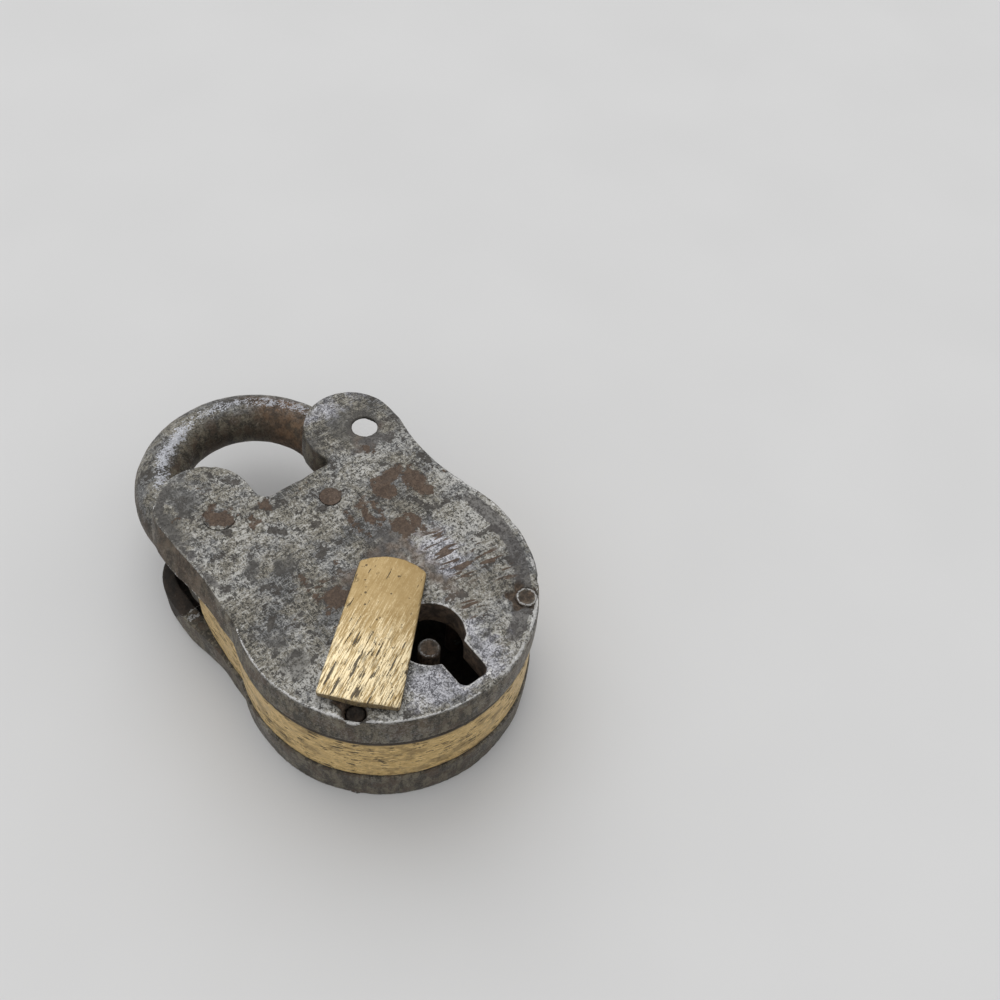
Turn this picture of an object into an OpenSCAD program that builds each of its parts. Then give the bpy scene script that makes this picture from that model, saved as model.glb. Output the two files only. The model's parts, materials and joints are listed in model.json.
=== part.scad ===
// Old iron lever padlock with a brass rim, a heart-shaped case and a hinged shackle.
// It lies on its back: the back plate's outer face is z = 0 and the front face looks up (+Z).
// The shackle points along +Y. The origin is the centre of the round body on the back face.
// Shown closed, with the bolt drawn back and the keyhole cover swung aside.

/* [Case] */
// Radius of the round body
body_r = 43; // [40:0.5:46]
// Depth of the dished front plate
front_h = 10.3; // [9:0.1:13]
// Height of the brass rim
rim_h = 21; // [19:0.5:25]
// Depth of the dished back plate
back_h = 12.4; // [11:0.1:15]
// Thickness of both plates' faces and skirts
plate_t = 3; // [2.6:0.1:3.4]
// Thickness of the brass rim
rim_t = 3.6; // [3:0.1:4]
// How far the rim stands back from the plates' edge
rim_set = 0.6; // [0.3:0.1:0.9]

/* [Ears] */
// Distance of each ear's centre from the middle
ear_x = 25.3; // [24.5:0.1:26.5]
// Height of the ears' centres above the body's centre
ear_y = 52.5; // [51:0.5:55]
// Radius of the ears
ear_r = 15.2; // [14.4:0.1:15.4]
// Radius of the open rivet hole in the right ear
hole_r = 3.8; // [3:0.1:4.4]
// Bottom of the notch between the ears
notch_y = 45.3; // [44.8:0.1:46.5]
// Half width of the case at the right neck
neck_right = 38.6; // [37.8:0.1:39.4]
// Half width of the case at the left neck
neck_left = 40; // [38.8:0.1:40.4]
// Radius of the hollow in the right neck
neck_r = 60; // [50:1:75]
// Radius of the shallow hollow in the left neck
neck_r_left = 110; // [80:5:160]

/* [Shackle] */
// Radius of the round bar
bar_r = 7.8; // [6.5:0.1:8.2]
// Inner half width of the loop, to the middle of the bar
loop_r = 27.4; // [26.8:0.1:28]
// Height of the loop's centre
loop_y = 66; // [64:0.5:72]
// Radius of the pivot rivet
pivot_r = 4; // [3.2:0.1:5]

/* [Keyhole and cover] */
// Radius of the round part of the keyhole
key_r = 9.4; // [8:0.1:10]
// Half width of the keyhole's slot
slot_w = 4.2; // [3.5:0.1:5]
// Depth of the keyhole's wall, with the collar behind the front plate
collar_h = 9.5; // [6:0.5:10]
// Wall of that collar
collar_w = 2.2; // [1.6:0.1:2.6]
// Radius of the pin that the hollow key turns on
pin_r = 3.2; // [2.6:0.1:3.8]
// Length of the cover below its stud
cover_l = 36.4; // [35:0.1:38]
// Thickness of the cover at its middle
cover_t = 2.8; // [2.2:0.1:3.6]
// Turn of the cover from its closed place
cover_turn = 49; // [0:1:90]

/* [Lock work] */
// Thickness of the bolt
bolt_t = 7; // [5:0.5:8]
// Travel of the bolt
throw = 7; // [6.6:0.1:7.2]
// Thickness of each lever
lever_t = 2.4; // [1.8:0.1:2.6]

/* [Hidden] */
$fn = 96;

height = back_h + rim_h + front_h;      // whole case, back to front
front_z = back_h + rim_h;               // lower edge of the front plate
mid_z = back_h + rim_h / 2;             // middle of the shackle and the bolt
face_in = height - plate_t;             // inner face of the front plate
side_x = ear_x + ear_r;                 // outer side of the ears
inner_x = ear_x - ear_r;                // inner side of the ears
neck_y = 31;
notch_fillet = 2.5;

run = 0.06;                             // radial clearance of turning parts
slack = 0.3;                            // side clearance of loose parts
shank_r = 2.6;                          // shank of the case rivets
sink = 0.5;                             // spread of their countersunk heads
head_h = 1.5;

pivot = [-24, 46];
hole = [28.7, 49.8];                    // open rivet hole in the right ear
upper = [5.1, 33.7];                    // upper rivet, also the bolt's upper guide
rivet_in = 4;                           // lower rivets, in from the body's edge
rivet_turn = 42.6;                      // and below its middle line
rim_rivet_x = (body_r - rivet_in) * cos(rivet_turn);
rim_rivet_y = (rivet_in - body_r) * sin(rivet_turn);
hole_wall = 1.2;                        // straight part of that hole, countersunk behind
key_pos = [0.1, -19.8];                 // centre of the keyhole and the drill pin
key_end = -38;                          // bottom of the keyhole's slot
slot_x = key_pos[0] + 1.5;              // its middle, a little to the right of the pin
foot_h = 1;                             // foot of the drill pin
pin_drop = 8.4;                         // its top below the front face
stud_r = 3;
washer_r = 6.5;
stud = [0.2, key_pos[1] + key_r + collar_w + slack + washer_r];  // stud of the cover
lever_pos = [14 - body_r, 2];           // post that the levers turn on
guide = [lever_pos[0] + 18.5, 6];       // bolt's lower guide post
guide_r = 2.4;
lever_post_r = 2.5;
stump = [6, 5];
stump_w = 4;

heel_r = 13;                            // eye of the shackle
heel_h = rim_h - 2 * slack;
loop_x = pivot[0] - 6.8 + loop_r;       // centre of the loop
toe_x = loop_x + loop_r;                // middle of the toe leg
heel_x = loop_x - loop_r;               // middle of the heel leg
heel_end = 50;
toe_end = 29;
toe_cut = 7.4;                          // depth of the toe's notch
nose_y0 = 35.9;                         // bolt's nose
nose_y1 = 41.7;
nose_x = toe_x - bar_r - 1;             // its end when drawn back
bolt_z = mid_z - bolt_t / 2;
lever_gap = 0.3;
lever_z = bolt_z + bolt_t + lever_gap;  // underside of the lowest lever
lever_n = 3;
lever_step = lever_t + lever_gap;
stack_top = lever_z + lever_n * lever_step;
rim_end_left = 35.6;
rim_end_right = 34;

// Heart-shaped outline, drawn in by i all round
module outline(i = 0) {
  difference() {
    union() {
      circle(body_r - i);
      for (s = [-1, 1]) translate([s * ear_x, ear_y]) circle(ear_r - i);
      translate([-side_x + i, i]) square([2 * (side_x - i), ear_y - i]);
    }
    translate([neck_right + neck_r, neck_y]) circle(neck_r + i, $fn = 240);
    translate([-neck_left - neck_r_left, neck_y]) circle(neck_r_left + i, $fn = 360);
    notch(i);
  }
  translate([ear_x, ear_y]) circle(ear_r - i);
}

// Open U between the ears: its lower left corner is rounded
module notch(i) {
  x0 = -inner_x - i;
  y0 = notch_y - i;
  f = notch_fillet + i;
  translate([x0 + f, y0]) square([ear_x - x0 - f, 40]);
  translate([x0, y0 + f]) square([ear_x - x0, 40]);
  translate([x0 + f, y0 + f]) circle(f);
}

// A dished plate: face at the bottom, skirt standing up
module dish(h) {
  difference() {
    linear_extrude(h) outline();
    translate([0, 0, plate_t]) linear_extrude(h) outline(plate_t);
  }
}

// Hole for a rivet with its countersink, through a plate whose face starts at z = 0
module rivet_hole(p, r) {
  translate([p[0], p[1], -1]) cylinder(h = height, r = r);
  translate([p[0], p[1], 0]) cylinder(h = head_h, r1 = r + sink, r2 = r);
}

// Rivet with two flush countersunk heads, from the back face to the front face
module rivet(p, r) {
  translate([p[0], p[1], 0]) {
    cylinder(h = height, r = r);
    cylinder(h = head_h, r1 = r + sink, r2 = r);
    translate([0, 0, height - head_h]) cylinder(h = head_h, r1 = r, r2 = r + sink);
  }
}

// Post riveted into the back plate, with a wide foot up to a shoulder and a neck above it
module post(p, r, foot_r, shoulder_z, top_z) {
  translate([p[0], p[1], 0]) {
    cylinder(h = top_z, r = r);
    translate([0, 0, plate_t]) cylinder(h = shoulder_z - plate_t, r = foot_r);
  }
}

// Keyhole: a round hole with a slot below it, drawn out by g all round
module keyhole(g = 0) {
  corner = 2;
  w = slot_w + g;
  end = key_end - g;
  f = corner + g;
  translate(key_pos) circle(key_r + g);
  translate([slot_x - w, end + f]) square([2 * w, key_pos[1] - end - f]);
  translate([slot_x - w + f, end]) square([2 * (w - f), 2 * f]);
  for (s = [-1, 1]) translate([slot_x + s * (w - f), end + f]) circle(f);
}

module front_plate() {
  countersink = plate_t - hole_wall;
  color("dimgray") difference() {
    union() {
      translate([0, 0, height]) mirror([0, 0, 1]) difference() {
        dish(front_h);
        rivet_hole(pivot, pivot_r);
        rivet_hole(upper, shank_r);
        for (s = [-1, 1]) rivet_hole([s * rim_rivet_x, rim_rivet_y], shank_r);
      }
      intersection() {
        translate([0, 0, height - collar_h]) linear_extrude(collar_h - 1) keyhole(collar_w);
        cylinder(h = height, r = body_r - 1);
      }
    }
    translate([hole[0], hole[1], face_in - 1]) {
      cylinder(h = plate_t + 2, r = hole_r);
      translate([0, 0, 1]) cylinder(h = countersink, r1 = hole_r + countersink, r2 = hole_r);
    }
    translate([stud[0], stud[1], face_in - 1]) cylinder(h = plate_t + 2, r = stud_r + run);
    translate([0, 0, height - collar_h - 1]) linear_extrude(collar_h + 2) keyhole();
  }
}

module back_plate() {
  color("dimgray") difference() {
    dish(back_h);
    rivet_hole(pivot, pivot_r);
    rivet_hole(upper, shank_r);
    for (s = [-1, 1]) rivet_hole([s * rim_rivet_x, rim_rivet_y], shank_r);
    for (p = [[key_pos, pin_r], [guide, guide_r], [lever_pos, lever_post_r]])
      translate([p[0][0], p[0][1], -1]) cylinder(h = plate_t + 2, r = p[1]);
  }
}

// Brass wall between the plates, open at the top, with a lug for each lower rivet
module brass_rim() {
  color("goldenrod") translate([0, 0, back_h]) difference() {
    union() {
      linear_extrude(rim_h) difference() {
        outline(rim_set);
        outline(rim_set + rim_t);
        translate([-60, rim_end_left]) square([60, 60]);
        translate([0, rim_end_right]) square([60, 60]);
      }
      intersection() {
        for (s = [-1, 1]) translate([s * rim_rivet_x, rim_rivet_y, 0])
          cylinder(h = rim_h, r = shank_r + 2.6);
        cylinder(h = rim_h, r = body_r - rim_set);
      }
    }
    for (s = [-1, 1]) translate([s * rim_rivet_x, rim_rivet_y, -1])
      cylinder(h = rim_h + 2, r = shank_r);
  }
}

// Strip that closes the case under the notch, between the heel and the toe
module top_bridge() {
  color("gray") translate([-9.6, notch_y - plate_t, back_h])
    cube([23.2, plate_t - 0.4, rim_h]);
}

module shackle() {
  color("slategray") difference() {
    union() {
      translate([loop_x, loop_y, mid_z])
        rotate_extrude(angle = 180) translate([loop_r, 0]) circle(bar_r);
      translate([toe_x, toe_end, mid_z]) rotate([-90, 0, 0])
        cylinder(h = loop_y - toe_end, r = bar_r);
      translate([heel_x, heel_end, mid_z]) rotate([-90, 0, 0])
        cylinder(h = loop_y - heel_end, r = bar_r);
      translate([heel_x, heel_end, mid_z]) sphere(bar_r);
      translate([pivot[0], pivot[1], mid_z - heel_h / 2]) cylinder(h = heel_h, r = heel_r);
    }
    translate([pivot[0], pivot[1], 0]) cylinder(h = height, r = pivot_r + run);
    // notch for the bolt's nose, and the inner corner of the toe taken off
    translate([toe_x - bar_r - 1, nose_y0 - 0.4, mid_z - 10])
      cube([toe_cut + 1, nose_y1 - nose_y0 + 0.8, 20]);
    translate([toe_x - bar_r, toe_end, mid_z - 10]) rotate([0, 0, -45])
      translate([-6, -6, 0]) cube([12, 8, 20]);
  }
}

module shackle_rivet() {
  color("saddlebrown") rivet(pivot, pivot_r);
}

module heel_washer(z0, z1) {
  translate([pivot[0], pivot[1], z0]) difference() {
    cylinder(h = z1 - z0, r = 8);
    translate([0, 0, -1]) cylinder(h = z1 - z0 + 2, r = pivot_r + run);
  }
}

module heel_washer_front() {
  color("gray") heel_washer(mid_z + heel_h / 2 + 0.05, face_in);
}

module heel_washer_back() {
  color("gray") heel_washer(plate_t, mid_z - heel_h / 2 - 0.05);
}

// Tapered brass bar, slightly round across, on a stud that goes through the front plate
module keyhole_cover() {
  crown_r = 62;
  top_r = 18;
  color("gold") translate([stud[0], stud[1], height]) rotate([0, 0, -cover_turn]) {
    intersection() {
      translate([0, 0, 0.1]) linear_extrude(cover_t) intersection() {
        polygon([[-11.1, -cover_l], [0, -cover_l - 0.9], [11.1, -cover_l], [9.3, 9], [-9.3, 9]]);
        union() {
          translate([0, 8 - top_r]) circle(top_r);
          translate([-15, -cover_l - 2]) square([30, cover_l]);
        }
      }
      translate([0, 20, cover_t + 0.1 - crown_r]) rotate([90, 0, 0])
        cylinder(h = 80, r = crown_r, $fn = 360);
    }
    translate([0, 0, -plate_t - 2]) cylinder(h = plate_t + 2.6, r = stud_r);
  }
}

module cover_washer() {
  color("goldenrod") translate([stud[0], stud[1], face_in - 1.7]) difference() {
    cylinder(h = 1.6, r = washer_r);
    translate([0, 0, -1]) cylinder(h = 4, r = stud_r);
  }
}

module drill_pin() {
  color("gray") translate([key_pos[0], key_pos[1], 0]) {
    cylinder(h = height - pin_drop, r = pin_r);
    translate([0, 0, height - pin_drop]) cylinder(h = 0.8, r1 = pin_r, r2 = pin_r - 0.8);
    translate([0, 0, plate_t]) cylinder(h = foot_h, r = pin_r + 2);
  }
}

module bolt() {
  arm_x = -9;
  tail_x = lever_pos[0] + 7;
  fork_x = nose_x - throw + 0.3;
  color("peru") translate([0, 0, bolt_z]) linear_extrude(bolt_t) difference() {
    union() {
      translate([arm_x, nose_y0]) square([nose_x - arm_x, nose_y1 - nose_y0]);
      translate([arm_x, 28.6]) square([fork_x - arm_x, nose_y1 - 28.6]);
      translate([arm_x, 8]) square([12, 24]);
      translate([tail_x, -2]) square([11 - tail_x, 14]);
    }
    // open slot for the upper rivet, closed one for the lower guide post
    long_slot([upper[0] - throw, upper[1]], 2 * throw, shank_r + 0.2);
    long_slot([guide[0] - throw, guide[1]], throw, guide_r + 0.2);
    // talon that the key pushes
    translate([key_pos[0] - throw / 2, -2]) circle(4.2);
  }
}

// Straight slot with round ends
module long_slot(p, l, r) {
  translate(p) circle(r);
  translate([p[0] + l, p[1]]) circle(r);
  translate([p[0], p[1] - r]) square([l, 2 * r]);
}

module bolt_stump() {
  color("saddlebrown")
    translate([stump[0] - stump_w / 2, stump[1] - stump_w / 2, bolt_z + bolt_t])
      cube([stump_w, stump_w, stack_top - bolt_z - bolt_t]);
}

module bolt_guide_post() {
  color("gray") post(guide, guide_r, guide_r + 2.4, bolt_z - 0.1, bolt_z + bolt_t);
}

module bolt_sleeve() {
  color("gray") translate([upper[0], upper[1], plate_t]) difference() {
    cylinder(h = bolt_z - 0.1 - plate_t, r = 5);
    translate([0, 0, -1]) cylinder(h = bolt_z, r = shank_r);
  }
}

// Flat lever: two pockets joined by a gate that lets the stump through
module lever(n) {
  gate_x = stump[0] + throw / 2;
  wall = 0.9;
  pocket_h = stump_w + 6.2;
  pocket_w = throw / 2 + stump_w / 2 - wall + 0.7;
  z = lever_z + (n - 1) * lever_step;
  low = -3 - n * 0.3;
  color("khaki") translate([0, 0, z]) difference() {
    union() {
      translate([lever_pos[0], lever_pos[1], 0]) cylinder(h = lever_t, r = 7);
      linear_extrude(lever_t)
        polygon([[lever_pos[0], 8.4], [lever_pos[0] + 23, 14], [21, 14], [21, -2.8], [9, low],
          [-8, low], [lever_pos[0], -4.2]]);
    }
    translate([lever_pos[0], lever_pos[1], -1]) cylinder(h = 9, r = lever_post_r + run);
    translate([0, 0, -1]) linear_extrude(9) {
      translate([gate_x - 2, stump[1] - stump_w / 2 - 0.35]) square([4, stump_w + 0.7]);
      for (x = [gate_x - wall - pocket_w, gate_x + wall])
        translate([x, stump[1] - pocket_h / 2]) square([pocket_w, pocket_h]);
    }
  }
}

module lever_1() { lever(1); }
module lever_2() { lever(2); }
module lever_3() { lever(3); }

// Bent leaf spring standing on the lever's upper edge
module lever_spring(n) {
  z = lever_z + (n - 1) * lever_step + 0.2;
  color("silver") translate([lever_pos[0], 0, z]) linear_extrude(lever_t - 0.4)
    polygon([[3, 9.13], [3.9, 9.35], [7, 19.5], [18, 25.6], [17.6, 26.3], [6.3, 20]]);
}

module lever_spring_1() { lever_spring(1); }
module lever_spring_2() { lever_spring(2); }
module lever_spring_3() { lever_spring(3); }

module lever_post() {
  color("gray") post(lever_pos, lever_post_r, 5, lever_z - 0.1, face_in);
}

module lever_stop() {
  color("gray") translate([19, -8.6, plate_t]) cylinder(h = face_in - plate_t, r = 2.5);
}

module upper_rivet() {
  color("saddlebrown") rivet(upper, shank_r);
}

module right_rim_rivet() {
  color("saddlebrown") rivet([rim_rivet_x, rim_rivet_y], shank_r);
}

module left_rim_rivet() {
  color("saddlebrown") rivet([-rim_rivet_x, rim_rivet_y], shank_r);
}

front_plate();
back_plate();
brass_rim();
top_bridge();
shackle();
shackle_rivet();
heel_washer_front();
heel_washer_back();
keyhole_cover();
cover_washer();
drill_pin();
bolt();
bolt_stump();
bolt_guide_post();
bolt_sleeve();
lever_1();
lever_2();
lever_3();
lever_spring_1();
lever_spring_2();
lever_spring_3();
lever_post();
lever_stop();
upper_rivet();
right_rim_rivet();
left_rim_rivet();
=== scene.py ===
# %% [markdown]
# # An old iron lever padlock
# The lock lies on its back. Two dished iron plates hold a brass rim between them, a round
# shackle turns on a rivet in the left ear, and a loose brass cover hides the keyhole. Every
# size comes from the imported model, so the looks are laid over solids that already fit.

# %% Load the frame
import json
import math

import bmesh
import bpy
import numpy as np
from mathutils import Matrix, Vector, noise


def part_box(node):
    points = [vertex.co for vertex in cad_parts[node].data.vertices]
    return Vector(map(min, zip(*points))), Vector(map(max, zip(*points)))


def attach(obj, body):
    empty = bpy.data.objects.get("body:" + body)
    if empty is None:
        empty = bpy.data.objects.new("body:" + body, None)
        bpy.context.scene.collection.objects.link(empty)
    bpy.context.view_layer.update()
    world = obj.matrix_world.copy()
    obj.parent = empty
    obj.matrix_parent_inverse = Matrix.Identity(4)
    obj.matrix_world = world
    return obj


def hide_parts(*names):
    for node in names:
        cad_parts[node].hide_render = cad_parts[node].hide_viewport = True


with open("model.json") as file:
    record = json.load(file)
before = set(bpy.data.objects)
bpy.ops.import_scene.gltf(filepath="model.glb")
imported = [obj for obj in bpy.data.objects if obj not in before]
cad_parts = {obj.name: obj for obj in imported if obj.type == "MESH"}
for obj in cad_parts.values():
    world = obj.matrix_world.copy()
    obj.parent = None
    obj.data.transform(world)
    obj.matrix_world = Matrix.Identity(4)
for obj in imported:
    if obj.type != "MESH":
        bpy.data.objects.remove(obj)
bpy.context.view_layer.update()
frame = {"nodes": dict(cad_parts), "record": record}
MM = 0.001


def placed(name, data):
    """A new object with that data, put into the scene."""
    made = bpy.data.objects.new(name, data)
    bpy.context.scene.collection.objects.link(made)
    return made


# %% [markdown]
# The camera comes first, because it decides which details are worth making. It looks down
# over the lower left of the lock, close enough for the walls to lean outwards a little.
# An azimuth and an elevation set the view, and a small roll turns the picture.

# %% Camera
EYE_PLACE = (-102.5, -140.9, 309.2)
AZIMUTH, ELEVATION, ROLL = 45.39, 52.25, 7.16
LENS, SENSOR, NEAREST = 41.4, 36, 0.01


def look(azimuth, elevation, roll):
    """Turn of a camera that looks that way, with +Z up before the roll."""
    a, e = math.radians(azimuth), math.radians(elevation)
    ahead = Vector((math.sin(a) * math.cos(e), math.cos(a) * math.cos(e), -math.sin(e)))
    rolled = Matrix.Rotation(math.radians(roll), 3, "Z").to_quaternion()
    return ahead.to_track_quat("-Z", "Y") @ rolled


eye = placed("camera", bpy.data.cameras.new("camera"))
eye.location = Vector(EYE_PLACE) * MM
eye.rotation_mode = "QUATERNION"
eye.rotation_quaternion = look(AZIMUTH, ELEVATION, ROLL)
eye.data.lens = LENS
eye.data.sensor_width = SENSOR
eye.data.clip_start = NEAREST
bpy.context.scene.camera = eye

# %% [markdown]
# The light is a plain studio: a wide soft sun from high behind the lock, a weaker one from the
# left, and a pale world that fills the shadows and shows in the metal.

# %% Light and world
WORLD_GREY, WORLD_POWER = 0.82, 0.80


def soft_sun(name, towards, power, spread):
    """A sun that shines the given way, as wide in the sky as spread, in degrees."""
    lamp = bpy.data.lights.new(name, "SUN")
    lamp.energy, lamp.angle = power, math.radians(spread)
    holder = placed(name, lamp)
    holder.rotation_mode = "QUATERNION"
    holder.rotation_quaternion = Vector(towards).to_track_quat("-Z", "Y")


soft_sun("sun_back", (-0.30, -0.75, -0.95), power=1.00, spread=60)
soft_sun("sun_left", (0.85, -0.10, -0.95), power=0.32, spread=70)

world = bpy.data.worlds.new("studio")
bpy.context.scene.world = world
world.use_nodes = True
sky = world.node_tree.nodes["Background"].inputs
sky["Color"].default_value = (WORLD_GREY, WORLD_GREY, WORLD_GREY, 1)
sky["Strength"].default_value = WORLD_POWER
bpy.context.scene.view_settings.view_transform = "Standard"

# %% [markdown]
# A material is a graph of nodes, and most of it is arithmetic. Wrapping a socket in a small
# class lets that arithmetic be written as Python, so `1 - rust` adds the Math node itself.

# %% Sockets that do arithmetic
class Value:
    """An output socket. Arithmetic on it adds Math nodes to its material."""

    def __init__(self, coat, socket):
        self.coat, self.socket = coat, socket

    def _math(self, kind, a, b):
        return self.coat.node("ShaderNodeMath", {"operation": kind}, {0: a, 1: b})

    def __add__(self, other): return self._math("ADD", self, other)
    def __radd__(self, other): return self._math("ADD", other, self)
    def __sub__(self, other): return self._math("SUBTRACT", self, other)
    def __rsub__(self, other): return self._math("SUBTRACT", other, self)
    def __mul__(self, other): return self._math("MULTIPLY", self, other)
    def __rmul__(self, other): return self._math("MULTIPLY", other, self)
    def highest(self, other): return self._math("MAXIMUM", self, other)

    def step(self, low, high):
        """0 below low, 1 above high and a smooth rise between them."""
        settings = {"interpolation_type": "SMOOTHSTEP"}
        sockets = {"Value": self, "From Min": low, "From Max": high}
        return self.coat.node("ShaderNodeMapRange", settings, sockets)


class Coat:
    """A material under construction. Its patterns are measured in millimetres."""

    def __init__(self, name):
        self.material = bpy.data.materials.new(name)
        self.material.use_nodes = True
        self.tree = self.material.node_tree
        self.tree.nodes.clear()
        place = self.node("ShaderNodeTexCoord", out="Object")
        self.mm = self.node("ShaderNodeVectorMath", {"operation": "SCALE"},
                            {0: place, "Scale": 1 / MM})

    def node(self, kind, settings=None, sockets=None, out=0):
        """Adds a node, makes its settings, fills its sockets and gives back one output."""
        made = self.tree.nodes.new(kind)
        for key, value in (settings or {}).items():
            setattr(made, key, value)
        for key, value in (sockets or {}).items():
            if isinstance(value, Value):
                self.tree.links.new(value.socket, made.inputs[key])
            else:
                made.inputs[key].default_value = value
        return Value(self, made.outputs[out])

    def grain(self, size, detail, rough=0.55, where=None, warp=0.0):
        """Cloudy noise with lumps about that many millimetres across."""
        sockets = {"Vector": where or self.mm, "Scale": 1 / size, "Detail": detail,
                   "Roughness": rough, "Distortion": warp}
        return self.node("ShaderNodeTexNoise", None, sockets, "Fac")

    def cells(self, size):
        """Distance to scattered points that lie about that many millimetres apart."""
        sockets = {"Vector": self.mm, "Scale": 1 / size}
        return self.node("ShaderNodeTexVoronoi", None, sockets, "Distance")

    def scaled(self, scale, place=None):
        """The pattern's place times scale: the smaller the number, the longer the lumps."""
        return self.node("ShaderNodeVectorMath", {"operation": "MULTIPLY"},
                         {0: place or self.mm, 1: scale})

    def stretched(self, turn, scale):
        """The pattern's place, turned about Z and then scaled."""
        turned = self.node("ShaderNodeMapping", {"vector_type": "TEXTURE"},
                           {"Vector": self.mm, "Rotation": (0, 0, math.radians(turn))})
        return self.scaled(scale, turned)

    def blend(self, a, b, share):
        """Colour a where share is 0 and colour b where it is 1."""
        a, b = (c if isinstance(c, Value) else (*c, 1) for c in (a, b))
        return self.node("ShaderNodeMix", {"data_type": "RGBA"}, {0: share, 6: a, 7: b}, 2)

    def painted(self, name):
        """A number that is stored on the piece's own points."""
        return self.node("ShaderNodeAttribute", {"attribute_name": name}, None, "Fac")

    def spot(self, x, y, radius, ragged, soft, squash):
        """1 inside a spot on the face, seen from the front, with a ragged or a soft edge."""
        flat = self.scaled((*squash, 0))
        away = self.node("ShaderNodeVectorMath", {"operation": "DISTANCE"},
                         {0: flat, 1: (x * squash[0], y * squash[1], 0)}, "Value")
        return (radius - away + ragged).step(-soft, soft)

    def level(self, axis):
        """The place in millimetres along X, Y or Z."""
        return self.node("ShaderNodeSeparateXYZ", None, {0: self.mm}, axis)

    def finish(self, colour, rough, metal, height=None, depth=0.1):
        """Closes the material. Height is in parts of depth, and depth is in millimetres."""
        sockets = {"Base Color": colour, "Roughness": rough, "Metallic": metal}
        if height is not None:
            bump = {"Height": height, "Distance": depth * MM, "Strength": 1}
            sockets["Normal"] = self.node("ShaderNodeBump", None, bump)
        shader = self.node("ShaderNodeBsdfPrincipled", None, sockets)
        end = self.tree.nodes.new("ShaderNodeOutputMaterial")
        self.tree.links.new(shader.socket, end.inputs["Surface"])
        return self.material


# %% [markdown]
# The floor is a plain pale sheet with a tone that barely changes.

# %% Floor
FLOOR_HALF = 4
FLOOR_TONES = (0.66, 0.66, 0.66), (0.68, 0.68, 0.68)


def plain_floor():
    coat = Coat("pale_floor")
    tone = coat.grain(60, 2, 0.4).step(0.2, 0.8)
    return coat.finish(coat.blend(*FLOOR_TONES, tone), rough=0.9, metal=0.0)


bm = bmesh.new()
bmesh.ops.create_grid(bm, x_segments=1, y_segments=1, size=FLOOR_HALF)
floor_mesh = bpy.data.meshes.new("floor")
bm.to_mesh(floor_mesh)
bm.free()
floor = placed("floor", floor_mesh)
floor_mesh.materials.append(plain_floor())

# %% [markdown]
# ## Worn iron
# Old iron isn't one grey. Close up it is a fine speckle of dark pits and silver flecks on a
# warm grey, handling polishes some zones, damp leaves smooth dark patches, and rust settles
# in brown islands with crisp shores. Each layer is one size of noise with its own threshold.
# Numbers stored on the points add what depends on the shape: worn edges, with a painted highlight
# on the shackle; walls darkened by painted shade, with real streaks and rust; bands of painted
# shade along the rim; and the scale inside a hole, which on the back plate is painted deep shade.

# %% Iron
DARK = (0.044, 0.041, 0.036)
WARM = (0.202, 0.186, 0.150)
COOL = (0.166, 0.167, 0.168)
SILVER = (0.410, 0.404, 0.380)
SMOOTH = (0.050, 0.043, 0.036)
# A grey for painted shade.
SHADE_GREY = (0.070, 0.064, 0.062)
RUST = (0.080, 0.053, 0.037), (0.124, 0.080, 0.052)
# The walls' colours are painted shade, darker than the face, with lighter streaks in them.
SHADED_SIDE_TONES = (0.046, 0.039, 0.029), (0.170, 0.147, 0.105)
RUSTY_SIDE = (0.090, 0.062, 0.042)
BROWN_SCALE = (0.040, 0.028, 0.019), (0.142, 0.098, 0.065)
ORANGE_SCALE = (0.052, 0.031, 0.017), (0.175, 0.100, 0.050)
# Near black tones for painted deep shade inside the case and on the sunk rivet.
DEEP_SHADE = (0.013, 0.009, 0.006), (0.040, 0.026, 0.017)
BARE = (0.460, 0.455, 0.445)
BARE_FACE = (0.560, 0.555, 0.545)
# The colour of the shackle's painted highlight, a pale bluish white.
BAR_HIGHLIGHT = (0.460, 0.470, 0.510)


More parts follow.
